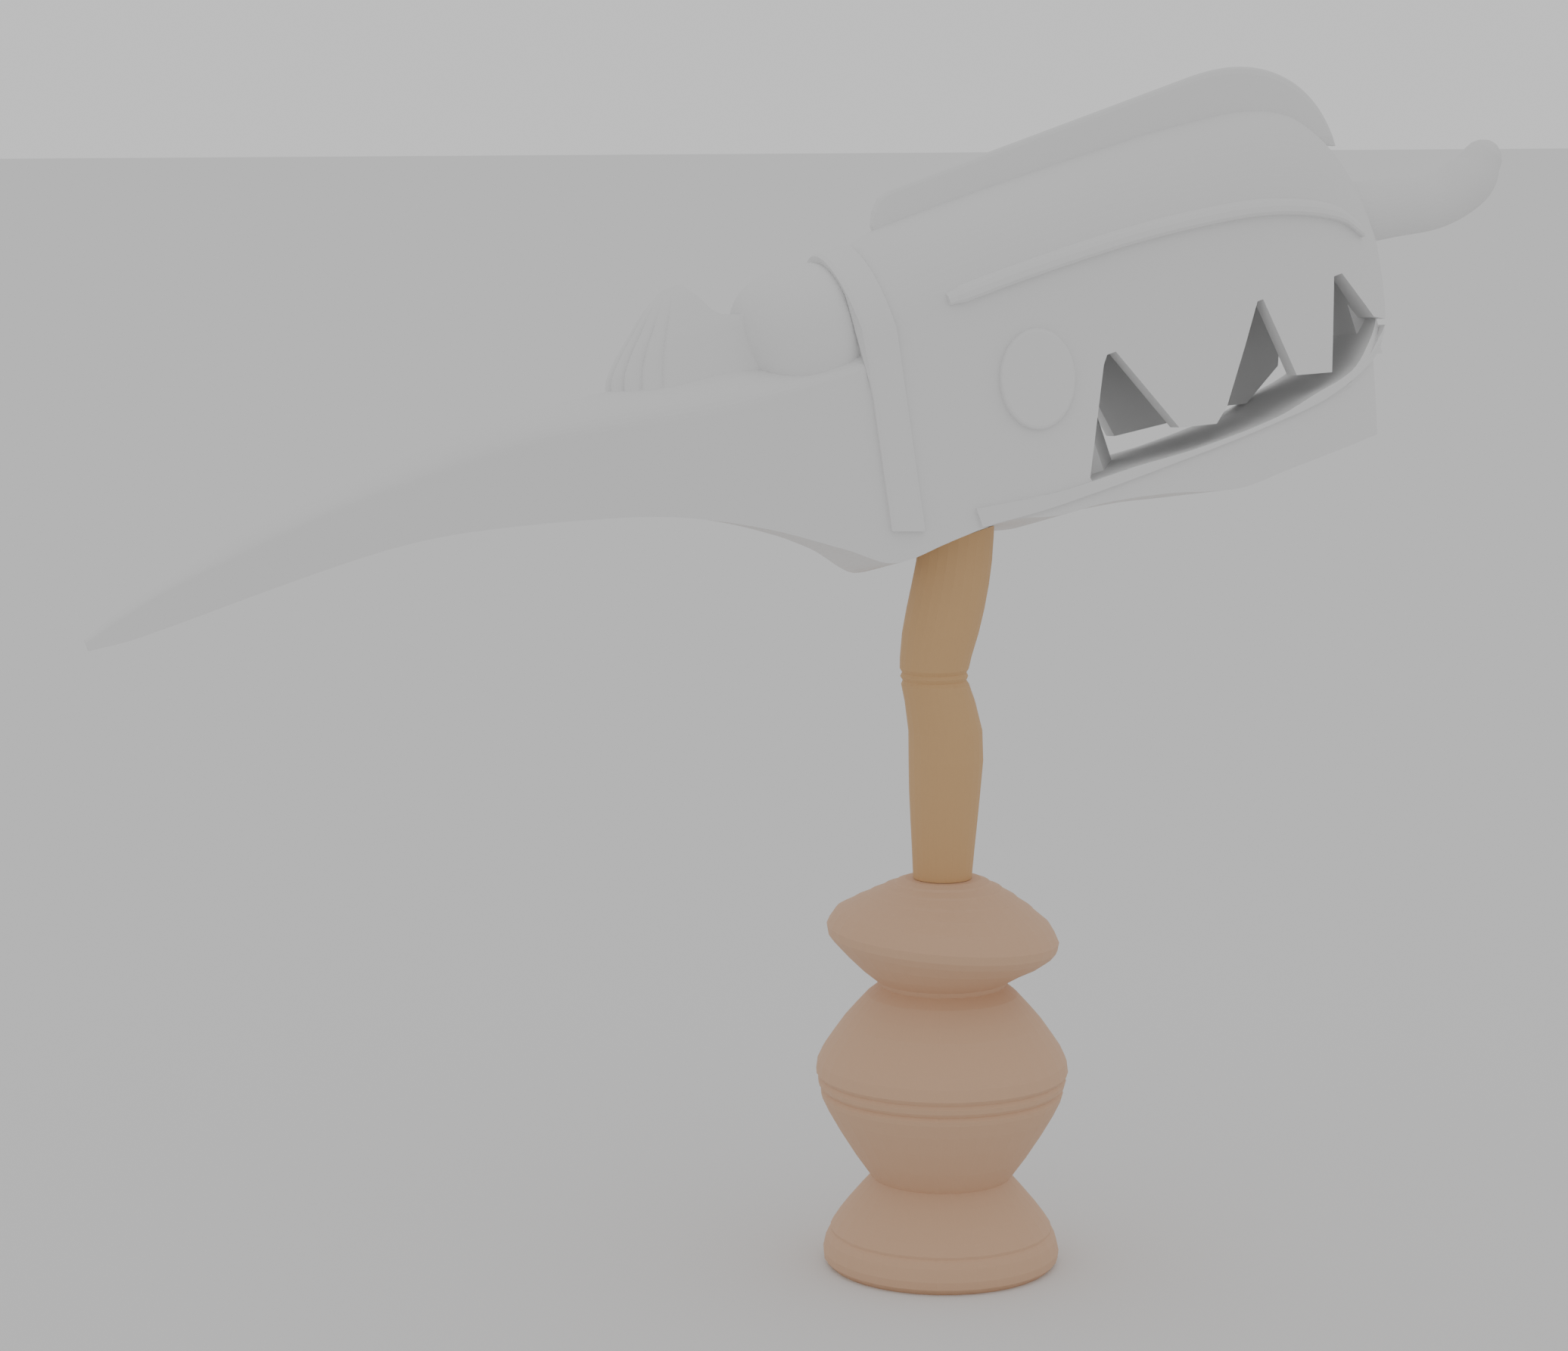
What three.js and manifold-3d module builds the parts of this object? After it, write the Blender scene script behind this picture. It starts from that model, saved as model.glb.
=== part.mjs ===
// Carved shrine figure: a long-beaked bird head on a bent neck post and a turned stand.
// Millimetres, +Z up. The origin is the centre of the foot's underside, the beak points to -X.
// The head is modelled straight in its own frame: X along the head to the tail, Y to its right,
// Z up, with the origin on top of the neck. It is then pitched up to the tail and rolled.
import * as THREE from 'three';
import { mergeVertices } from 'three/addons/utils/BufferGeometryUtils.js';
import Module from 'manifold-3d';

const wasm = await Module();
wasm.setup();

// How the head sits on the neck
const HEAD_PITCH = THREE.MathUtils.degToRad(18);
const HEAD_ROLL = THREE.MathUtils.degToRad(5);
const NECK_TOP = new THREE.Vector3(8, 0, 470);
const JOINT_GAP = 0.3;

// Skull: an arch on two straight walls, hollow behind, rounded off at the back
const HALF_WIDTH = 52;
const WALL = 16;
const SKULL_START = -20;
const SKULL_END = 318;
const ROUND_START = 225;
const ROUND_POWER = 3.2;
const HOLLOW_START = 90;
const HOLLOW_SLANT = 0.5;
const HOLLOW_END = 298;

// Beak
const TIP_X = -529;
const TIP_HALF_WIDTH = 4.5;

// Floor plate under the hollow, with the jaw block below it
const LEDGE_START = 2;
const LEDGE_END = 299;
const LEDGE_REACH = 3;
const JAW_START = -30;
const JAW_BACK = 277;

// Rust-red crest plate on the crown and the ridges along the sides
const CREST_START = 10;
const CREST_TOP = 218;
const CREST_FRONT = [[20, 216], [28, CREST_TOP]];
const CREST_ROUND = { x: 240, z: 150, a: 78, c: 72, squareness: 0.88 };
const CREST_THICK = 9;
const RIDGE_START = 27;
const RIDGE_END = 300;
const RIDGE_HEIGHT = 11;
const RIDGE_REACH = 6;

// Brow ring with its square blocks
const RING_START = -31;
const RING_WIDTH = 21;
const RING_REACH = 4;
const RING_FOOT = 17;
const RING_FOOT_SLOPE = 0.34;
const RING_SPRING = 140;
const RING_TOP = 196;
const RING_LEAN = 0.19;
const RING_BLOCKS = 9;
const RING_GROOVE = 2.4;
const RING_FAR_DROP = 6;

// Nose, brow dome that holds both eyes, and ears
const NOSE_FLUTES = 8;
const STEPS_PER_FLUTE = 4;
const NOSE_FLUTE_DEPTH = 2.2;
const NOSE_SIDE = 27;
const BROW_DOME = { x: -55, z: 150, a: 42, b: 52, c: 45, squareness: 0.82 };
const EAR = { x: 65, z: 81, a: 24, c: 31, thick: 5, lean: 0.3 };

// Bun at the back: a short horn, centre line and radius
const BUN_LINE = [[302, 108], [340, 101], [372, 95], [398, 100], [412, 110]];
const BUN_RADII = [21, 19, 17.5, 17, 13];

// Neck post: height, sideways shift and radius, bottom to top
const NECK_STATIONS = [
  [250, -0.5, 18.5], [272, 0, 20], [296, 0.5, 21.8], [318, 1, 23.2], [336, 1.5, 23.8],
  [354, 0, 23], [368, -3.5, 22.1], [379, -6.5, 21.4], [390, -6.4, 22.1], [406, -3.5, 24],
  [430, 1.5, 24.6], [455, 6, 23.8], [500, 9, 23],
];

const NECK_SIDES = 24;
const NECK_RINGS = [379.5, 384.5];
const NECK_RING_HALF = 2.5;
const NECK_RING_DEPTH = 1.3;

// Stand: outer profile from the underside up, radius and height
const STAND_TOP = 252;
const DISC_TILT = THREE.MathUtils.degToRad(4.5);
const DISC_TILT_FADE = 26;
const FOOT_PROFILE = [
  [0, 0], [71.5, 0], [75.3, 4], [75.8, 9], [74, 17], [72, 21], [70.8, 22.2], [71, 24],
  [66.5, 31], [60.4, 39], [52, 49], [44.5, 57.5],
];
const BULB_PROFILE = [
  [46.5, 60], [55, 72], [65.1, 88], [72.5, 101], [76.8, 110], [77.6, 113], [76.2, 115.3],
  [78.6, 118], [79.4, 121], [78.2, 123.4], [80.6, 126.5], [79.6, 134], [76.3, 141],
  [70.9, 149], [63.5, 159.5], [56.2, 168], [48, 177], [40.5, 183],
];
const DISC_PROFILE = [
  [42.5, 186.5], [52, 193], [62, 200], [69.5, 206.5], [73, 211], [74, 216.5], [72, 221],
];
const CONE_STEPS = [[68.5, 226.5], [58.5, 233.5], [48.5, 239.5], [39, 244.8], [31, 248.6]];
const STEP_RISER = 1.5;
const CONE_TOP_RADIUS = 24;
const STAND_SIDES = 36;

// Values between stations on a smooth line
function smoothLine(stations) {
  const points = stations.map(([x, z]) => new THREE.Vector2(x, z));
  return (x) => {
    const last = points.length - 1;
    if (x <= points[0].x) return points[0].y;
    if (x >= points[last].x) return points[last].y;
    const i = points.findIndex((p, k) => k < last && x < points[k + 1].x);
    const p = points[i];
    const q = points[i + 1];
    const before = points[Math.max(i - 1, 0)];
    const after = points[Math.min(i + 2, last)];
    const h = q.x - p.x;
    const t = (x - p.x) / h;
    const slopeIn = (q.y - before.y) / (q.x - before.x) * h;
    const slopeOut = (after.y - p.y) / (after.x - p.x) * h;
    const rise = p.y * (2 * t ** 3 - 3 * t ** 2 + 1) + q.y * (3 * t ** 2 - 2 * t ** 3);
    return rise + slopeIn * (t ** 3 - 2 * t ** 2 + t) + slopeOut * (t ** 3 - t ** 2);
  };
}

// Side-view lines of the head
const beakTop = smoothLine([
  [TIP_X, 125], [-503, 134], [-455, 145], [-409, 153], [-341, 160], [-265, 165], [-200, 161],
  [-150, 155], [-110, 150], [-75, 140], [SKULL_START, 136],
]);
const beakEdge = smoothLine([
  [TIP_X, 123], [-478, 135], [-428, 141], [-363, 147], [-289, 148], [-239, 146], [-178, 136],
  [-120, 126], [-50, 123], [SKULL_START, 122],
]);
const beakBottom = smoothLine([
  [TIP_X, 118], [-500, 115.5], [-400, 116.5], [-338, 115], [-289, 108], [-206, 87], [-167, 73],
  [-123, 50], [-82, 22], [-58, 5], [SKULL_START, 5],
]);
const beakWidth = smoothLine([
  [TIP_X, TIP_HALF_WIDTH], [-478, 9], [-389, 17], [-289, 26], [-202, 37], [-150, 44], [-100, 49],
  [-60, 51.5], [SKULL_START, HALF_WIDTH],
]);
// How much lower the bottom edge of the far side lies
const farDrop = smoothLine([[-95, 0], [-78, 3], [-58, 11], [60, 12], [200, 4]]);
const crown = smoothLine([
  [SKULL_START, 190], [16, 198], [180, 198], [233, 195], [263, 191], [290, 180], [305, 162],
  [313, 145], [SKULL_END, 128],
]);
const springing = smoothLine([
  [SKULL_START, 139], [26, 145], [130, 145], [195, 140], [245, 131], [287, 113], [303, 96],
  [SKULL_END, 92],
]);
const backBottom = smoothLine([[290, 28], [296, 35], [303, 52], [311, 78], [SKULL_END, 92]]);
const floorTop = smoothLine([
  [LEDGE_START, 19], [55, 11], [107, 9], [153, 6], [205, 7], [233, 12], [263, 18], [282, 31],
  [LEDGE_END, 45],
]);
const floorBottom = smoothLine([
  [LEDGE_START, 7], [53, 3], [153, 2.5], [205, 4], [240, 7], [278, 18], [LEDGE_END, 30],
]);
const jawBottom = smoothLine([
  [JAW_START, 5], [20, 5], [51, -3], [83, -6], [122, -14], [168, -27], [200, -27], [290, -26],
]);

// Half-width of the rounded plan
function planWidth(x, end = SKULL_END) {
  if (x <= ROUND_START) return HALF_WIDTH;
  const t = Math.min((x - ROUND_START) / (end - ROUND_START), 1);
  return Math.max(HALF_WIDTH * (1 - t ** ROUND_POWER) ** (1 / ROUND_POWER), 2);
}

function range(start, end, count) {
  return Array.from({ length: count + 1 }, (_, i) => start + (end - start) * i / count);
}

// Closed skin through rings of points, all with the same count, with flat ends
function skin(rings) {
  const count = rings[0].length;
  const faces = [];
  for (let r = 0; r < rings.length - 1; r += 1) {
    for (let i = 0; i < count; i += 1) {
      const a = r * count + i;
      const b = r * count + (i + 1) % count;
      faces.push(a, b, b + count, a, b + count, a + count);
    }
  }
  for (const [ring, flip] of [[0, true], [rings.length - 1, false]]) {
    const flat = rings[ring].map(([, y, z]) => new THREE.Vector2(y, z));
    for (const [a, b, c] of THREE.ShapeUtils.triangulateShape(flat, [])) {
      const cap = flip ? [c, b, a] : [a, b, c];
      faces.push(...cap.map((i) => ring * count + i));
    }
  }
  const geometry = new THREE.BufferGeometry();
  geometry.setAttribute('position', new THREE.Float32BufferAttribute(rings.flat(2), 3));
  geometry.setIndex(faces);
  return geometry;
}

// A side-view outline made into a plate across the head
function plate(points, thick, centre = 0) {
  const shape = new THREE.Shape(points.map(([x, z]) => new THREE.Vector2(x, z)));
  const geometry = new THREE.ExtrudeGeometry(shape, { depth: thick, bevelEnabled: false });
  geometry.rotateX(Math.PI / 2);
  geometry.translate(0, centre + thick / 2, 0);
  return geometry;
}

function solid(geometry) {
  const plain = geometry.clone();
  plain.deleteAttribute('normal');
  plain.deleteAttribute('uv');
  const merged = mergeVertices(plain, 1e-4);
  const mesh = new wasm.Mesh({
    numProp: 3,
    vertProperties: Float32Array.from(merged.attributes.position.array),
    triVerts: Uint32Array.from(merged.index.array),
  });
  return new wasm.Manifold(mesh);
}

function geometryOf(body) {
  const mesh = body.getMesh();
  const geometry = new THREE.BufferGeometry();
  geometry.setAttribute('position', new THREE.Float32BufferAttribute(mesh.vertProperties, 3));
  geometry.setIndex(Array.from(mesh.triVerts));
  geometry.computeVertexNormals();
  return geometry;
}

function joinAll(bodies) {
  return bodies.reduce((sum, body) => sum.add(body));
}

// Arch section: two walls from z0 up to the springing, then a half ellipse over the crown
function archRing(x, half, nearFoot, farFoot, spring, top, steps) {
  const rise = top - spring;
  const arc = range(0, Math.PI, steps);
  const over = arc.map((turn) => [x, half * Math.cos(turn), spring + rise * Math.sin(turn)]);
  return [[x, -half, nearFoot], [x, half, farFoot], ...over];
}

function beak() {
  const stations = [TIP_X, -515, ...range(-495, -130, 13), -110, -90, -74, -62, -54, -38, SKULL_START];
  return skin(stations.map((x) => {
    const foot = beakBottom(x);
    return archRing(x, beakWidth(x), foot, foot - farDrop(x), beakEdge(x), beakTop(x), 8);
  }));
}

function skull() {
  const straight = [SKULL_START, -5, 16, 60, 100, 140, 180];
  const rounded = [...range(205, 285, 8), 291, 297, 303, 308, 312, 315, SKULL_END];
  return skin([...straight, ...rounded].map((x) => {
    const foot = x < 291 ? floorTop(x) - 8 : backBottom(x);
    return archRing(x, planWidth(x), foot, foot, springing(x), crown(x), 14);
  }));
}

function hollow() {
  const stations = [HOLLOW_START, 140, 180, 215, 235, 250, 262, 272, 280, 286];
  return skin(stations.map((x, i) => {
    const half = planWidth(x, HOLLOW_END) - WALL;
    const ring = archRing(x, half, -5, -5, springing(x) - 6, crown(x) - WALL - 6, 10);
    return i === 0 ? ring.map(([, y, z]) => [x + HOLLOW_SLANT * (y + half), y, z]) : ring;
  }));
}

// The teeth between the windows hang from the wall and stop short of the floor
const NEAR_TEETH = [[[119, 80], [143, 22], [167, 16], [177, 24], [200, 55], [217, 79]],
  [[221, 79], [227, 27], [250, 21], [271, 77]]];
const FAR_TEETH = [[[119, 80], [130, 20], [167, 16], [177, 24], [200, 55], [212, 79]],
  [[216, 79], [205, 14], [222, 10], [250, 26], [271, 77]]];

function windows(teeth, side) {
  const floor = range(80, 300, 11).map((x) => [x, floorTop(x) - 6]);
  const back = [[290, 44], [277, 77]];
  const outline = [...floor, ...back, ...teeth.flat().reverse(), [113, 80], [109, 75], [78, 12]];
  return plate(outline, 45, side * 42.5);
}

function floorAndJaw() {
  const ledgeStations = [...range(LEDGE_START, 227, 9), 245, 260, 272, 282, 290, 296, LEDGE_END];
  const ledge = skin(ledgeStations.map((x) => {
    const half = planWidth(x, LEDGE_END + 2) + LEDGE_REACH;
    const low = floorBottom(x);
    const high = floorTop(x);
    return [[x, -half, low], [x, half, low], [x, half, high], [x, -half, high]];
  }));
  const jawStations = [...range(JAW_START, 220, 10), 240, 256, 270, 280, 288, 295];
  const jaw = skin(jawStations.map((x) => {
    const half = planWidth(x, LEDGE_END);
    const low = jawBottom(x);
    const high = Math.min(floorBottom(x) + 6, floorTop(x) - 1);
    return [[x, -half, low], [x, half, low - farDrop(x)], [x, half, high], [x, -half, high]];
  }));
  const behind = new THREE.BoxGeometry(100, 200, 300);
  behind.translate(50, 0, -150);
  behind.rotateY(HEAD_PITCH);
  behind.translate(JAW_BACK + 6, 0, 22);
  return solid(jaw).subtract(solid(behind)).add(solid(ledge));
}

// Turns a sine or cosine into that of a squarer curve
function squarer(value, power) {
  return Math.sign(value) * Math.abs(value) ** power;
}

function crest() {
  const back = range(0, Math.PI / 2, 9).map((turn) => [
    CREST_ROUND.x + CREST_ROUND.a * squarer(Math.sin(turn), CREST_ROUND.squareness),
    CREST_ROUND.z + CREST_ROUND.c * squarer(Math.cos(turn), CREST_ROUND.squareness),
  ]);
  const under = range(310, CREST_START, 14).map((x) => [x, crown(x) - 4]);
  return plate([...CREST_FRONT, ...back, ...under, [CREST_START, 201]], CREST_THICK);
}

function sideRidge(side) {
  const stations = [RIDGE_START, 60, 100, 130, 165, ...range(195, 290, 10), RIDGE_END];
  const rings = stations.map((x, i) => {
    const taper = i === 0 ? 0.5 : 1;
    const outer = (planWidth(x) + RIDGE_REACH * taper) * side;
    const inner = Math.max(planWidth(x) - 8, 1) * side;
    const low = springing(x) - RIDGE_HEIGHT * taper / 2;
    const high = low + RIDGE_HEIGHT * taper;
    const corners = [[x, inner, low - 1], [x, outer, low], [x, outer, high - 2], [x, inner, high + 3]];
    return side > 0 ? corners : corners.reverse();
  });
  return skin(rings);
}

// The ring leans forward from its springing down to its foot
function ringX(z) {
  return RING_START - RING_LEAN * Math.max(RING_SPRING - z, 0);
}

function ringGroove(side, turn, z) {
  const half = HALF_WIDTH + RING_REACH + 1.2;
  const groove = new THREE.BoxGeometry(RING_WIDTH - 5, 6, RING_GROOVE);
  groove.rotateX(turn);
  const y = turn ? Math.cos(turn) * half : side * half;
  const rise = turn ? Math.sin(turn) * half : 0;
  groove.translate(ringX(z) + RING_WIDTH / 2, y, z + rise);
  return solid(groove);
}

function browRing() {
  const ends = [0, RING_WIDTH];
  const band = skin(ends.map((along) => {
    const half = HALF_WIDTH + RING_REACH;
    const foot = RING_FOOT + RING_FOOT_SLOPE * (RING_WIDTH - along);
    const ring = archRing(along, half, foot, foot - RING_FAR_DROP, RING_SPRING, RING_TOP, 20);
    return ring.map(([x, y, z]) => [x + ringX(z), y, z]);
  }));
  const cuts = [];
  for (let i = 1; i < RING_BLOCKS; i += 1) {
    const z = RING_FOOT + i * (RING_SPRING - RING_FOOT) / (RING_BLOCKS - 1);
    const turn = i * Math.PI / RING_BLOCKS;
    cuts.push(ringGroove(-1, 0, z), ringGroove(1, 0, z), ringGroove(1, turn, RING_SPRING));
  }
  return solid(band).subtract(joinAll(cuts));
}

// Nose: a fluted round front and flat sides that run back to the brow dome
const noseFront = smoothLine([
  [135, -188], [163, -181], [175, -171], [186, -158], [198, -143], [206, -128],
]);
const noseCorner = smoothLine([[135, -152], [175, -136], [198, -124], [206, -120]]);
const noseBack = smoothLine([[135, -70], [172, -72], [180, -100], [198, -112], [206, -117]]);
const noseHalf = smoothLine([
  [135, 28], [146, NOSE_SIDE], [175, 21], [186, 17], [198, 11], [206, 4],
]);

function nose() {
  const levels = [135, 150, 163, 175, 181, 189, 198, 203, 206];
  return skinUpright(levels.map((z) => {
    const corner = noseCorner(z);
    const reach = corner - noseFront(z);
    const turns = range(-Math.PI / 2, Math.PI / 2, NOSE_FLUTES * STEPS_PER_FLUTE);
    const front = turns.map((turn) => {
      const wave = Math.cos(turn * NOSE_FLUTES * 2) * NOSE_FLUTE_DEPTH / 2 * Math.cos(turn) ** 0.4;
      const grow = 1 + wave / NOSE_SIDE;
      return [corner - reach * Math.cos(turn) * grow, -noseHalf(z) * Math.sin(turn) * grow, z];
    });
    const back = noseBack(z);
    return [...front, [back, -noseHalf(z) * 0.9, z], [back, noseHalf(z) * 0.9, z]];
  }));
}

// The same skin for rings that lie flat, one above the other
function skinUpright(rings) {
  const turned = rings.map((ring) => ring.map(([x, y, z]) => [z, x, y]));
  const geometry = skin(turned);
  const swap = new THREE.Matrix4().set(0, 1, 0, 0, 0, 0, 1, 0, 1, 0, 0, 0, 0, 0, 0, 1);
  return geometry.applyMatrix4(swap);
}

// One wide dome across the brow, a little squarer than an egg
function browDome() {
  const dome = new THREE.SphereGeometry(1, 28, 16);
  const position = dome.attributes.position;
  for (let i = 0; i < position.count; i += 1) {
    const x = BROW_DOME.a * squarer(position.getX(i), BROW_DOME.squareness);
    const z = BROW_DOME.c * squarer(position.getZ(i), BROW_DOME.squareness);
    position.setXYZ(i, BROW_DOME.x + x, BROW_DOME.b * position.getY(i), BROW_DOME.z + z);
  }
  return dome;
}

function ear(side) {
  const disc = new THREE.CylinderGeometry(1, 1, EAR.thick + 6, 36);
  disc.scale(EAR.a, 1, EAR.c);
  disc.rotateY(EAR.lean);
  disc.translate(EAR.x, side * (HALF_WIDTH + EAR.thick / 2 - 3), EAR.z);
  return disc;
}

function bun() {
  const line = new THREE.CatmullRomCurve3(BUN_LINE.map(([x, z]) => new THREE.Vector3(x, 0, z)));
  const radius = smoothLine(BUN_RADII.map((r, i) => [i / (BUN_RADII.length - 1), r]));
  const rings = range(0, 1, 12).map((t) => tubeRing(line.getPoint(t), line.getTangent(t), radius(t)));
  const tip = line.getPoint(1);
  const ahead = line.getTangent(1);
  for (const [step, shrink] of [[5, 0.9], [9, 0.68], [12, 0.35]]) {
    rings.push(tubeRing(tip.clone().addScaledVector(ahead, step), ahead, radius(1) * shrink));
  }
  return skin(rings);
}

function tubeRing(centre, ahead, radius) {
  const up = new THREE.Vector3(-ahead.z, 0, ahead.x);
  return range(0, 15, 15).map((i) => {
    const turn = i * Math.PI / 8;
    const reach = up.clone().multiplyScalar(radius * Math.sin(turn));
    return [centre.x + reach.x, radius * Math.cos(turn), centre.z + reach.z];
  });
}

function headBody() {
  const shell = joinAll([
    solid(skull())
      .subtract(solid(hollow()))
      .subtract(solid(windows(NEAR_TEETH, -1)))
      .subtract(solid(windows(FAR_TEETH, 1))),
    solid(beak()),
    floorAndJaw(),
  ]);
  const added = [nose(), browDome(), ear(-1), ear(1), bun(), crest(), sideRidge(-1), sideRidge(1)];
  return joinAll([shell, browRing(), ...added.map(solid)]);
}

// The post is cut off by the underside of the head that it carries
function neckBody(carried) {
  const shift = smoothLine(NECK_STATIONS.map(([z, x]) => [z, x]));
  const radius = smoothLine(NECK_STATIONS.map(([z, , r]) => [z, r]));
  const [lower, upper] = NECK_RINGS;
  const middle = (lower + upper) / 2;
  const rings = [lower - NECK_RING_HALF, lower, middle, upper, upper + NECK_RING_HALF];
  const heights = [STAND_TOP + JOINT_GAP, ...range(270, 366, 5), 373, ...rings, ...range(394, 500, 7)];
  const post = skinUpright(heights.map((z) => {
    const r = radius(z) - (NECK_RINGS.includes(z) ? NECK_RING_DEPTH : 0);
    return range(0, NECK_SIDES - 1, NECK_SIDES - 1).map((i) => {
      const turn = i * 2 * Math.PI / NECK_SIDES;
      return [shift(z) + r * Math.cos(turn), r * Math.sin(turn), z];
    });
  }));
  return solid(post).subtract(solid(carried.translate(0, 0, -JOINT_GAP)));
}

// Each step of the cone is a short riser under a slope
function coneSteps() {
  return CONE_STEPS.flatMap(([r, z]) => [[r, z], [r - STEP_RISER, z + STEP_RISER]]);
}

function standBody() {
  const profile = [
    ...FOOT_PROFILE, ...BULB_PROFILE, ...DISC_PROFILE, ...coneSteps(),
    [CONE_TOP_RADIUS, STAND_TOP], [0, STAND_TOP],
  ];
  const outline = profile.map(([r, z]) => new THREE.Vector2(r, z));
  const lathe = new THREE.LatheGeometry(outline, STAND_SIDES);
  lathe.rotateX(Math.PI / 2);
  const position = lathe.attributes.position;
  for (let i = 0; i < position.count; i += 1) {
    const z = position.getZ(i);
    const below = THREE.MathUtils.smoothstep(z, 186, 206);
    const above = THREE.MathUtils.clamp((STAND_TOP - z) / DISC_TILT_FADE, 0, 1);
    position.setZ(i, z - Math.tan(DISC_TILT) * position.getX(i) * below * above);
  }
  return solid(lathe);
}

function woodMaterial(colour, roughness) {
  return new THREE.MeshStandardMaterial({ color: colour, roughness, metalness: 0 });
}

function part(name, body, material) {
  const mesh = new THREE.Mesh(geometryOf(body), material);
  mesh.name = name;
  return mesh;
}

const head = part('head', headBody(), woodMaterial(0xb5765a, 0.75));
head.position.copy(NECK_TOP);
head.rotation.set(-HEAD_ROLL, -HEAD_PITCH, 0, 'YXZ');

head.updateMatrix();

const headInPlace = head.geometry.clone().applyMatrix4(head.matrix);
const neck = part('neck', neckBody(headInPlace), woodMaterial(0xd0a068, 0.6));
const stand = part('stand', standBody(), woodMaterial(0xd8ab86, 0.65));

const figure = new THREE.Group();
figure.add(head, neck, stand);

export default figure;
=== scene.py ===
# %% [markdown]
# # A carved shrine figure: a long-beaked bird head on a bent post and a turned stand
# The figure is three pieces of wood. The head is one carving with a painted and hatched skin, a
# hollow back and cut-out walls. It sits on a bent post, and the post on a turned stand. The solid
# model already has the true outline of each piece. Here the head's outline is built again with a
# finer mesh. The post and the stand show as the solid model's own pieces. The knife cuts and the
# paint are not made yet, so every surface is still plain.

# %% Load the solid model
import math

import bmesh
import bpy
import numpy as np
from mathutils import Euler, Matrix, Vector


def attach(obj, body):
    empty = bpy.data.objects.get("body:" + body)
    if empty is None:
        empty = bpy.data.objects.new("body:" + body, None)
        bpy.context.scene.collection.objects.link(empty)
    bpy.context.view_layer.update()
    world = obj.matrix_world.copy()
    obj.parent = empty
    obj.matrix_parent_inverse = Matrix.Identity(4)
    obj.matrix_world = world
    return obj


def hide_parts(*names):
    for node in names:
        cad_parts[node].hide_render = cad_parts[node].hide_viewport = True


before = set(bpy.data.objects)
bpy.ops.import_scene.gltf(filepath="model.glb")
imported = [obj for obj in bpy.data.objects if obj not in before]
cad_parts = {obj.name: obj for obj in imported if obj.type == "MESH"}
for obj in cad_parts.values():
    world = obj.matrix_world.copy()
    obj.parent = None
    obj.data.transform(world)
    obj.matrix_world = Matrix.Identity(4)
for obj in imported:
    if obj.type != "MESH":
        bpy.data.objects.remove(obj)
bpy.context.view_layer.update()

MM = 0.001
scene = bpy.context.scene

# %% [markdown]
# ## Camera
# The photograph was taken from a little above, from the beak's side. The stand's ellipses give the
# height of the lens and the two sides of the head give its distance. The lens is given as a focal
# length in pixels of the photograph, which Blender wants in millimetres on a 36 mm sensor.

# %% Camera
PHOTO_WIDTH = 2072
FOCAL_PIXELS = 5100
CAMERA_PLACE = Vector((-758.6, -2279.2, 762.0)) * MM
CAMERA_TURN = math.radians(-16)
CAMERA_DIP = math.radians(9)

lens = bpy.data.cameras.new("camera")
lens.sensor_width = 36
lens.lens = FOCAL_PIXELS / PHOTO_WIDTH * lens.sensor_width
lens.clip_start, lens.clip_end = 0.05, 50
camera = bpy.data.objects.new("camera", lens)
camera.location = CAMERA_PLACE
camera.rotation_euler = Euler((math.pi / 2 - CAMERA_DIP, 0, CAMERA_TURN))
scene.collection.objects.link(camera)
scene.camera = camera
print("lens", round(lens.lens, 1), "mm")

# %% [markdown]
# ## Lines that the shapes are read from
# A carver draws a few long lines on the block and cuts down to them: the top and bottom of the
# beak, the crown, the springing where the walls turn into the arch. Each one here is a short list
# of stations, millimetres along the head and millimetres up, with a smooth line through them. They
# are the lines of the solid model, so both models keep the same form.


# %% Smooth line through stations
def smooth_line(stations):
    x, z = np.array(stations, float).T
    slope = np.empty_like(z)
    slope[1:-1] = (z[2:] - z[:-2]) / (x[2:] - x[:-2])
    slope[0] = (z[1] - z[0]) / (x[1] - x[0])
    slope[-1] = (z[-1] - z[-2]) / (x[-1] - x[-2])

    def line(at):
        at = np.clip(at, x[0], x[-1])
        i = np.clip(np.searchsorted(x, at, "right") - 1, 0, len(x) - 2)
        h = x[i + 1] - x[i]
        t = (at - x[i]) / h
        rise = z[i] * (2 * t**3 - 3 * t**2 + 1) + z[i + 1] * (3 * t**2 - 2 * t**3)
        bend = slope[i] * (t**3 - 2 * t**2 + t) + slope[i + 1] * (t**3 - t**2)
        return rise + h * bend

    return line


# %% Lines of the head
TIP, SKULL_START, SKULL_END = -529, -20, 318
HALF_WIDTH, ROUND_START, ROUND_POWER = 52, 225, 3.2
LEDGE_START, LEDGE_END, LEDGE_REACH = 2, 299, 3
JAW_START, JAW_BACK = -30, 277

beak_top = smooth_line([
    (TIP, 125), (-503, 134), (-455, 145), (-409, 153), (-341, 160), (-265, 165), (-200, 161),
    (-150, 155), (-110, 150), (-75, 140), (SKULL_START, 136),
])
beak_edge = smooth_line([
    (TIP, 123), (-478, 135), (-428, 141), (-363, 147), (-289, 148), (-239, 146), (-178, 136),
    (-120, 126), (-50, 123), (SKULL_START, 122),
])
beak_bottom = smooth_line([
    (TIP, 118), (-500, 115.5), (-400, 116.5), (-338, 115), (-289, 108), (-206, 87), (-167, 73),
    (-123, 50), (-82, 22), (-58, 5), (SKULL_START, 5),
])
beak_width = smooth_line([
    (TIP, 4.5), (-478, 9), (-389, 17), (-289, 26), (-202, 37), (-150, 44), (-100, 49),
    (-60, 51.5), (SKULL_START, HALF_WIDTH),
])
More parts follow.
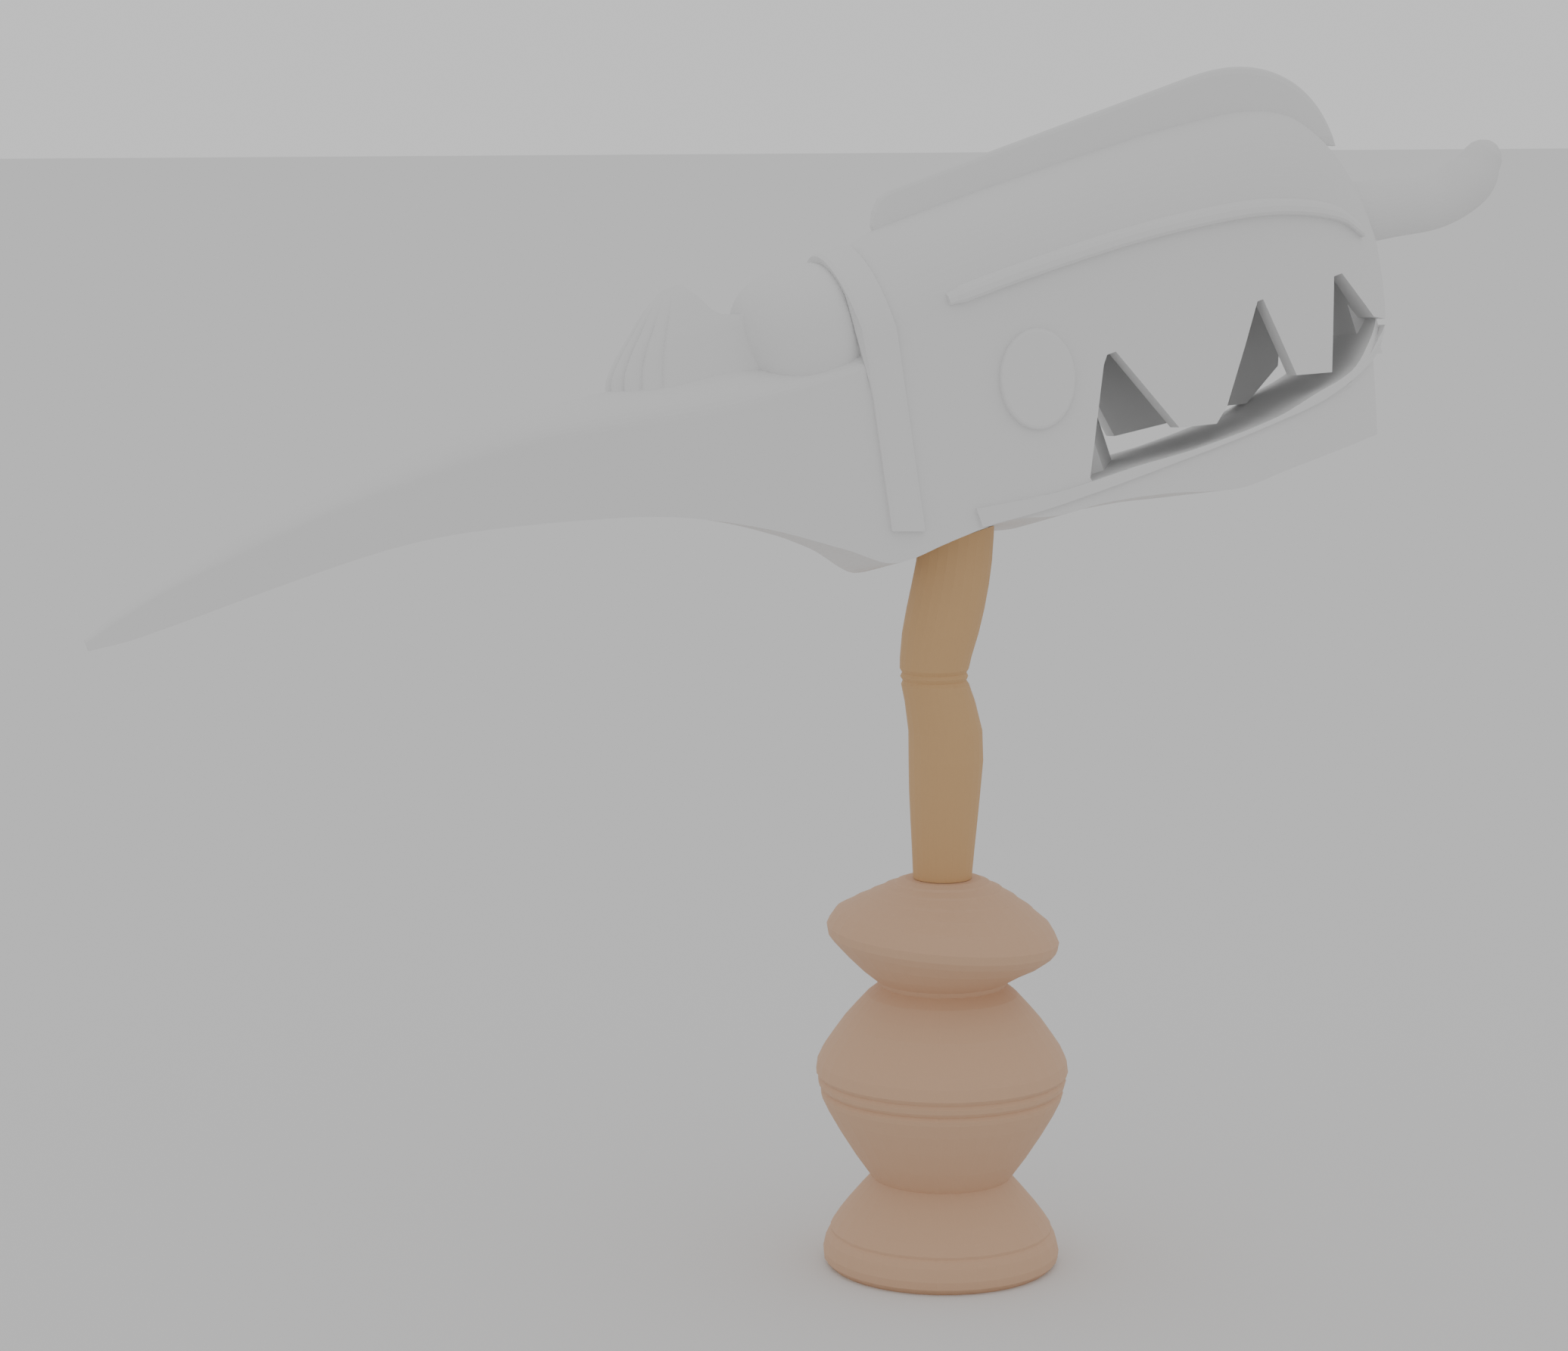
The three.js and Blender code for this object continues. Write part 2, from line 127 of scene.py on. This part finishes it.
far_drop = smooth_line([(-95, 0), (-78, 3), (-58, 11), (60, 12), (200, 4)])
crown = smooth_line([
    (SKULL_START, 190), (16, 198), (180, 198), (233, 195), (263, 191), (290, 180), (305, 162),
    (313, 145), (SKULL_END, 128),
])
springing = smooth_line([
    (SKULL_START, 139), (26, 145), (130, 145), (195, 140), (245, 131), (287, 113), (303, 96),
    (SKULL_END, 92),
])
back_bottom = smooth_line([(290, 28), (296, 35), (303, 52), (311, 78), (SKULL_END, 92)])
floor_top = smooth_line([
    (LEDGE_START, 19), (55, 11), (107, 9), (153, 6), (205, 7), (233, 12), (263, 18), (282, 31),
    (LEDGE_END, 45),
])
floor_bottom = smooth_line([
    (LEDGE_START, 7), (53, 3), (153, 2.5), (205, 4), (240, 7), (278, 18), (LEDGE_END, 30),
])
jaw_bottom = smooth_line([
    (JAW_START, 5), (20, 5), (51, -3), (83, -6), (122, -14), (168, -27), (200, -27), (290, -26),
])


def plan_width(x, end=SKULL_END):
    t = np.clip((np.asarray(x, float) - ROUND_START) / (end - ROUND_START), 0, 1)
    return np.maximum(HALF_WIDTH * (1 - t**ROUND_POWER) ** (1 / ROUND_POWER), 2)


# %% [markdown]
# ## Blocks
# Every block is a loft: a row of closed rings with the same number of points, joined by quads and
# shut with a flat face at each end. Blender's Boolean with its manifold solver then joins blocks
# and cuts hollows, and faces left by a cutter keep the cutter's own material. That lets a cut have
# a finish of its own.


# %% Loft, join and cut
def put_mesh(name, points, faces, material):
    mesh = bpy.data.meshes.new(name)
    mesh.from_pydata(np.asarray(points).tolist(), [], faces)
    shape = bmesh.new()
    shape.from_mesh(mesh)
    bmesh.ops.recalc_face_normals(shape, faces=shape.faces)
    shape.to_mesh(mesh)
    shape.free()
    mesh.materials.append(material)
    block = bpy.data.objects.new(name, mesh)
    scene.collection.objects.link(block)
    return block


def loft_faces(rings, count, start=0, caps=True):
    faces = []
    for r in range(rings - 1):
        low = start + r * count
        faces += [
            (low + i, low + (i + 1) % count, low + count + (i + 1) % count, low + count + i)
            for i in range(count)
        ]
    if caps:
        last = start + (rings - 1) * count
        faces += [tuple(range(start, start + count)), tuple(range(last, last + count))]
    return faces


def loft(name, rings, material):
    rings = np.asarray(rings, float)
    return put_mesh(name, rings.reshape(-1, 3), loft_faces(*rings.shape[:2]), material)


def combine(block, tool, how):
    change = block.modifiers.new(how, "BOOLEAN")
    change.solver = "MANIFOLD"
    change.operation = how
    change.material_mode = "TRANSFER"
    change.object = tool
    ready = block.evaluated_get(bpy.context.evaluated_depsgraph_get())
    mesh = bpy.data.meshes.new_from_object(ready)
    block.modifiers.clear()
    block.data = mesh
    bpy.data.objects.remove(tool)
    if not len(mesh.polygons):
        raise RuntimeError(f"{block.name}: nothing left after {how}")
    return block


def join_all(blocks):
    whole = blocks[0]
    for block in blocks[1:]:
        combine(whole, block, "UNION")
    return whole


# %% [markdown]
# ## Placeholder finishes
# The blocks need their materials now, because each face remembers the one it was made with. They
# have the names of the real head's finishes, and their nodes are not made yet.


# %% Names of the finishes
FINISHES = (
    "beak paint", "skull paint", "red paint", "ring paint", "nose wood", "brow wood", "ear wood",
    "ledge paint", "jaw wood", "bun paint", "inner wood",
)
finish = {name: bpy.data.materials.new(name) for name in FINISHES}
print(len(finish), "finishes for the head")

# %% [markdown]
# ## The arch
# Beak and skull share one section: two flat walls that run up from the foot, and half an ellipse
# from one springing to the other. The ring has a point every few millimetres, so that the curves
# stay smooth.

# %% Arch section
STEP = 4


def arch_ring(x, half, feet, spring, top, counts=(26, 30, 12)):
    wall, over, under = counts
    near_foot, far_foot = feet
    up = np.linspace(0, 1, wall, endpoint=False)
    turn = np.linspace(0, math.pi, over + 1)
    back = np.linspace(0, 1, under + 1)[1:-1]
    y = np.concatenate([
        -half + 0 * up, -half * np.cos(turn), half + 0 * up, half * (1 - 2 * back),
    ])
    z = np.concatenate([
        near_foot + (spring - near_foot) * up,
        spring + (top - spring) * np.sin(turn),
        far_foot + (spring - far_foot) * up[::-1],
        far_foot + (near_foot - far_foot) * back,
    ])
    return np.stack([np.full_like(y, x), y, z], 1)


def every(start, end, step=STEP):
    return np.linspace(start, end, max(int(round(abs(end - start) / step)), 1) + 1)


def beak_block():
    rings = []
    for x in every(TIP, SKULL_START, 3.5):
        foot = beak_bottom(x)
        feet = (foot, foot - far_drop(x))
        rings.append(arch_ring(x, beak_width(x), feet, beak_edge(x), beak_top(x), (16, 24, 8)))
    return loft("beak", rings, finish["beak paint"])


def skull_block():
    rings = []
    along = np.concatenate([every(SKULL_START, 289), [291, 294, 297, 300, 303, 306, 309, 312]])
    for x in np.append(along, [315, SKULL_END]):
        foot = floor_top(x) - 8 if x < 291 else back_bottom(x)
        rings.append(arch_ring(x, plan_width(x), (foot, foot), springing(x), crown(x)))
    return loft("skull", rings, finish["skull paint"])


# %% [markdown]
# ## Hollow and cut-outs
# Behind the ring the head is hollowed out, and the walls are cut into hanging teeth. The far
# wall's teeth stand a little differently: their edges show through the near cut-outs. The cutters
# are the same ones that the solid model uses, with the raw inner wood as their material.

# %% Hollow and cut-outs
WALL = 16
HOLLOW_START, HOLLOW_SLANT, HOLLOW_END = 90, 0.5, 298
NEAR_TEETH = [
    [(119, 80), (143, 22), (167, 16), (177, 24), (200, 55), (217, 79)],
    [(221, 79), (227, 27), (250, 21), (271, 77)],
]
FAR_TEETH = [
    [(119, 80), (130, 20), (167, 16), (177, 24), (200, 55), (212, 79)],
    [(216, 79), (205, 14), (222, 10), (250, 26), (271, 77)],
]


def hollow_block():
    rings = []
    for x in (HOLLOW_START, 115, 140, 160, 180, 200, 215, 235, 250, 262, 272, 280, 286):
        half = plan_width(x, HOLLOW_END) - WALL
        low, high = springing(x) - 6, crown(x) - WALL - 6
        ring = arch_ring(x, half, (-5, -5), low, high, (8, 14, 6))
        if x == HOLLOW_START:
            ring[:, 0] += HOLLOW_SLANT * (ring[:, 1] + half)
        rings.append(ring)
    return loft("hollow", rings, finish["inner wood"])


def plate(name, outline, y_from, y_to, material):
    rings = [[(x, y, z) for x, z in outline] for y in (y_from, y_to)]
    return loft(name, rings, material)


def cut_out(teeth, side):
    floor = [(x, floor_top(x) - 6) for x in np.linspace(80, 300, 12)]
    edge = [point for tooth in teeth[::-1] for point in tooth[::-1]]
    outline = [*floor, (290, 44), (277, 77), *edge, (113, 80), (109, 75), (78, 12)]
    return plate("cut_out", outline, side * 20, side * 65, finish["inner wood"])


# %% [markdown]
# ## Floor plate and jaw
# Under the hollow lies a thin plate, painted blue on top, and under that a solid jaw block. A
# dark seam runs between them. The jaw's back is sawn off upright, as the photograph shows.

# %% Floor plate and jaw
JAW_TILT = math.radians(18)


def slab_ring(x, half, low_near, low_far, high, across=14, rise=4):
    y = np.concatenate([
        np.linspace(-half, half, across), np.full(rise, half), np.linspace(half, -half, across),
        np.full(rise, -half),
    ])
    up = np.linspace(0, 1, rise + 2)[1:-1]
    z = np.concatenate([
        np.linspace(low_near, low_far, across), low_far + (high - low_far) * up,
        np.full(across, high), high + (low_near - high) * up,
    ])
    return np.stack([np.full_like(y, x), y, z], 1)


def ledge_block():
    rings = []
    for x in np.append(every(LEDGE_START, 290), [293, 296, LEDGE_END]):
        half = plan_width(x, LEDGE_END + 2) + LEDGE_REACH
        rings.append(slab_ring(x, half, floor_bottom(x), floor_bottom(x), floor_top(x)))
    return loft("ledge", rings, finish["ledge paint"])


def jaw_block():
    rings = []
    for x in np.append(every(JAW_START, 280), [284, 288, 292, 295]):
        low = jaw_bottom(x)
        high = min(floor_bottom(x) + 6, floor_top(x) - 1)
        rings.append(slab_ring(x, plan_width(x, LEDGE_END), low, low - far_drop(x), high, 14, 8))
    jaw = loft("jaw", rings, finish["jaw wood"])
    saw = put_mesh("saw", *box_mesh((0, -100, -300), (100, 100, 0)), finish["jaw wood"])
    saw.data.transform(Matrix.Translation((JAW_BACK + 6, 0, 22)) @ Matrix.Rotation(JAW_TILT, 4, "Y"))
    return combine(jaw, saw, "DIFFERENCE")


def box_mesh(low, high):
    corners = [(x, y, z) for x in (low[0], high[0]) for y in (low[1], high[1]) for z in (low[2], high[2])]
    faces = [(0, 1, 3, 2), (4, 6, 7, 5), (0, 4, 5, 1), (2, 3, 7, 6), (0, 2, 6, 4), (1, 5, 7, 3)]
    return corners, faces


# %% [markdown]
# ## Crest and side ridges
# A thick plate stands on the crown from the ring to the back, with a softly rounded edge. Two
# lower ridges run along the walls at the springing. All three are lofts of a small section with
# rounded corners. The crest's sections stand on the crown and reach to its outer curve.

# %% Crest and side ridges
CREST_START, CREST_TOP, CREST_THICK, CREST_SINK = 10, 218, 9, 5
CREST_ROUND = {"x": 240, "z": 150, "a": 78, "c": 72, "power": 0.88}
RIDGE_START, RIDGE_END, RIDGE_HEIGHT, RIDGE_REACH = 27, 300, 11, 6


def crest_top_line():
    turn = np.linspace(0, math.pi / 2, 26)
    x = CREST_ROUND["x"] + CREST_ROUND["a"] * np.sin(turn) ** CREST_ROUND["power"]
    z = CREST_ROUND["z"] + CREST_ROUND["c"] * np.abs(np.cos(turn)) ** CREST_ROUND["power"]
    straight = every(28, CREST_ROUND["x"], 4)[:-1]
    rise = CREST_TOP + (z[0] - CREST_TOP) * (straight - 28) / (CREST_ROUND["x"] - 28)
    front = [(CREST_START, 201), (14, 209), (20, 215.5)]
    return front + list(zip(straight, rise)) + list(zip(x, z))


def crest_block():
    top = crest_top_line()
    foot_x = np.linspace(CREST_START + 1, 306, len(top))
    section = [(-1, 0), (-1, 0.35), (-1, 0.7), (-0.98, 0.88), (-0.8, 0.96), (-0.4, 1), (0, 1)]
    section += [(-y, up) for y, up in section[-2::-1]]
    rings = []
    for i, ((x, z), foot) in enumerate(zip(top, foot_x)):
        base = crown(foot) - CREST_SINK
        narrow = 0.72 if i in (0, len(top) - 1) else 1
        rings.append([
            (foot + (x - foot) * up, y * narrow * CREST_THICK / 2, base + (z - base) * up)
            for y, up in section
        ])
    return loft("crest", rings, finish["red paint"])


def ridge_block(side):
    rings = []
    for x in np.append(every(RIDGE_START, 290, 5), [293, 296, RIDGE_END]):
        taper = np.clip((x - RIDGE_START) / 8, 0.45, 1) ** 0.5
        wall, mid = plan_width(x), springing(x)
        reach, rise = RIDGE_REACH * taper, RIDGE_HEIGHT / 2 * taper
        section = [(-8, -1.2), (0.1, -1), (0.75, -0.9), (1, -0.55), (1, 0.1), (0.8, 0.6), (0.1, 1.05), (-8, 1.3)]
        rings.append([
            (x, side * max(wall + reach * y if y > 0 else wall - 8, 1), mid + rise * z)
            for y, z in section
        ])
    return loft("ridge", rings, finish["red paint"])


# %% [markdown]
# ## Brow ring
# A square band stands round the head in front of the crest. It leans forward from its springing
# down to the foot, and the foot follows the groove that ends the cheek.

# %% Brow ring
RING_START, RING_WIDTH, RING_REACH, RING_LEAN = -31, 21, 4, 0.19
RING_FOOT, RING_FOOT_SLOPE, RING_FAR_DROP = 17, 0.34, 6
RING_SPRING, RING_TOP = 140, 196


def ring_x(z):
    return RING_START - RING_LEAN * np.maximum(RING_SPRING - z, 0)


def ring_block():
    rings = []
    for along in np.linspace(0, RING_WIDTH, 9):
        foot = RING_FOOT + RING_FOOT_SLOPE * (RING_WIDTH - along)
        edge = 1.2 if along in (0, RING_WIDTH) else 0
        half = HALF_WIDTH + RING_REACH - edge
        ring = arch_ring(0, half, (foot, foot - RING_FAR_DROP), RING_SPRING, RING_TOP - edge, (30, 44, 10))
        ring[:, 0] = ring_x(ring[:, 2]) + along
        rings.append(ring)
    return loft("ring", rings, finish["ring paint"])


# %% [markdown]
# ## Nose
# The nose stands on the beak's root like a small fluted shell: broad ridges with narrow valleys
# run down its rounded front, and its flat sides run back to the brow. Its rings lie level, one
# above the other.

# %% Nose
NOSE_FLUTES, NOSE_FLUTE_DEPTH, NOSE_SIDE = 8, 2.6, 27
nose_front = smooth_line([(135, -188), (163, -181), (175, -171), (186, -158), (198, -143), (206, -128)])
nose_corner = smooth_line([(135, -152), (175, -136), (198, -124), (206, -120)])
nose_back = smooth_line([(135, -70), (172, -72), (180, -100), (198, -112), (206, -117)])
nose_half = smooth_line([(135, 28), (146, NOSE_SIDE), (175, 21), (186, 17), (198, 11), (206, 4)])


def nose_block():
    rings = []
    turn = np.linspace(-math.pi / 2, math.pi / 2, NOSE_FLUTES * 10 + 1)
    valley = (1 - np.abs(np.cos(turn * NOSE_FLUTES))) ** 1.5
    for z in [*every(135, 196, 3), 199, 202, 204.5, 206]:
        corner, half = nose_corner(z), nose_half(z)
        fade = np.clip((206 - z) / 20, 0.15, 1)
        shrink = 1 - NOSE_FLUTE_DEPTH / NOSE_SIDE * valley * fade
        x = corner - (corner - nose_front(z)) * np.cos(turn) * shrink
        y = -half * np.sin(turn) * shrink
        back = np.linspace(0, 1, 11)[1:]
        side_x = corner + (nose_back(z) - corner) * back
        side_y = half * (1 - 0.1 * back)
        x = np.concatenate([x, side_x, side_x[::-1]])
        y = np.concatenate([y, -side_y, side_y[::-1]])
        rings.append(np.stack([x, y, np.full_like(x, z)], 1))
    return loft("nose", rings, finish["nose wood"])


# %% [markdown]
# ## Brow and ears
# One wide dome stands over both eyes. It is a sphere pushed out to a slightly squarer shape. The
# eyes under its front edge are not made yet. Each ear is a flat oval disc on the wall.

# %% Brow and ears
BROW = {"x": -55, "z": 150, "a": 42, "b": 52, "c": 45, "power": 0.82}
EAR = {"x": 65, "z": 81, "a": 24, "c": 31, "thick": 5, "lean": 0.3}


def globe(name, place, radii, power, material, around=72, levels=48):
    rings = []
    for tilt in np.linspace(-math.pi / 2, math.pi / 2, levels + 1)[1:-1]:
        turn = np.linspace(0, 2 * math.pi, around, endpoint=False)
        ball = np.stack([
            np.cos(tilt) * np.cos(turn), np.full_like(turn, math.sin(tilt)), np.cos(tilt) * np.sin(turn),
        ], 1)
        ball[:, (0, 2)] = np.sign(ball[:, (0, 2)]) * np.abs(ball[:, (0, 2)]) ** power
        rings.append(np.array(place) + np.array(radii) * ball)
    return loft(name, rings, material)


def brow_block():
    radii = (BROW["a"], BROW["b"], BROW["c"])
    return globe("brow", (BROW["x"], 0, BROW["z"]), radii, BROW["power"], finish["brow wood"])


def ear_block(side):
    turn = np.linspace(0, 2 * math.pi, 64, endpoint=False)
    rings = []
    for out, grow in ((-3, 1), (3.2, 1), (4.4, 0.975), (EAR["thick"], 0.93), (EAR["thick"], 0.45)):
        x = EAR["a"] * grow * np.cos(turn)
        z = EAR["c"] * grow * np.sin(turn)
        lean_x = x * math.cos(EAR["lean"]) + z * math.sin(EAR["lean"])
        lean_z = z * math.cos(EAR["lean"]) - x * math.sin(EAR["lean"])
        y = np.full_like(x, side * (HALF_WIDTH + out))
        rings.append(np.stack([EAR["x"] + lean_x, y, EAR["z"] + lean_z], 1))
    return loft("ear", rings, finish["ear wood"])


# %% [markdown]
# ## Bun
# The hair bun is a short horn that grows out of the back of the skull and turns up at its end. It
# is a loft of circles along a bent line.

# %% Bun
BUN_LINE = [(302, 108), (340, 101), (372, 95), (398, 100), (412, 110)]
BUN_RADII = [21, 19, 17.5, 17, 13]
BUN_CAP = [(5, 0.9), (9, 0.68), (12, 0.35)]


def bun_block():
    steps = np.linspace(0, 1, len(BUN_LINE))
    x_line = smooth_line(list(zip(steps, [x for x, _ in BUN_LINE])))
    z_line = smooth_line(list(zip(steps, [z for _, z in BUN_LINE])))
    radius = smooth_line(list(zip(steps, BUN_RADII)))
    turn = np.linspace(0, 2 * math.pi, 44, endpoint=False)
    rings = []

    def ring(x, z, ahead, r):
        up = r * np.sin(turn)
        return np.stack([x - ahead[1] * up, r * np.cos(turn), z + ahead[0] * up], 1)

    for t in np.linspace(0, 1, 34):
        ahead = np.array([x_line(t + 0.01) - x_line(t - 0.01), z_line(t + 0.01) - z_line(t - 0.01)])
        ahead /= np.linalg.norm(ahead)
        rings.append(ring(x_line(t), z_line(t), ahead, radius(t)))
    for step, shrink in BUN_CAP:
        x, z = x_line(1) + ahead[0] * step, z_line(1) + ahead[1] * step
        rings.append(ring(x, z, ahead, radius(1) * shrink))
    return loft("bun", rings, finish["bun paint"])


# %% Join the head
head = skull_block()
for cutter in (hollow_block(), cut_out(NEAR_TEETH, -1), cut_out(FAR_TEETH, 1)):
    combine(head, cutter, "DIFFERENCE")
join_all([
    head, beak_block(), jaw_block(), ledge_block(), ring_block(), nose_block(), brow_block(),
    ear_block(-1), ear_block(1), bun_block(), crest_block(), ridge_block(-1), ridge_block(1),
])
print("head:", len(head.data.polygons), "faces before the knife")

# %% Place the head
HEAD_PITCH, HEAD_ROLL = math.radians(18), math.radians(5)
NECK_TOP = Vector((8, 0, 470))
HEAD_PLACE = (
    Matrix.Scale(MM, 4) @ Matrix.Translation(NECK_TOP)
    @ Matrix.Rotation(-HEAD_PITCH, 4, "Y") @ Matrix.Rotation(-HEAD_ROLL, 4, "X")
)
head.data.transform(HEAD_PLACE)
head.name = "head_carving"
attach(head, "root")
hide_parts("head")

# %% Floor and light
floor_mesh = bpy.data.meshes.new("floor")
floor_mesh.from_pydata([(-30, -30, 0), (30, -30, 0), (30, 30, 0), (-30, 30, 0)], [], [(0, 1, 2, 3)])
floor = bpy.data.objects.new("floor", floor_mesh)
scene.collection.objects.link(floor)
world = bpy.data.worlds.new("studio")
scene.world = world
world.use_nodes = True
world.node_tree.nodes["Background"].inputs["Color"].default_value = (0.8, 0.8, 0.8, 1)
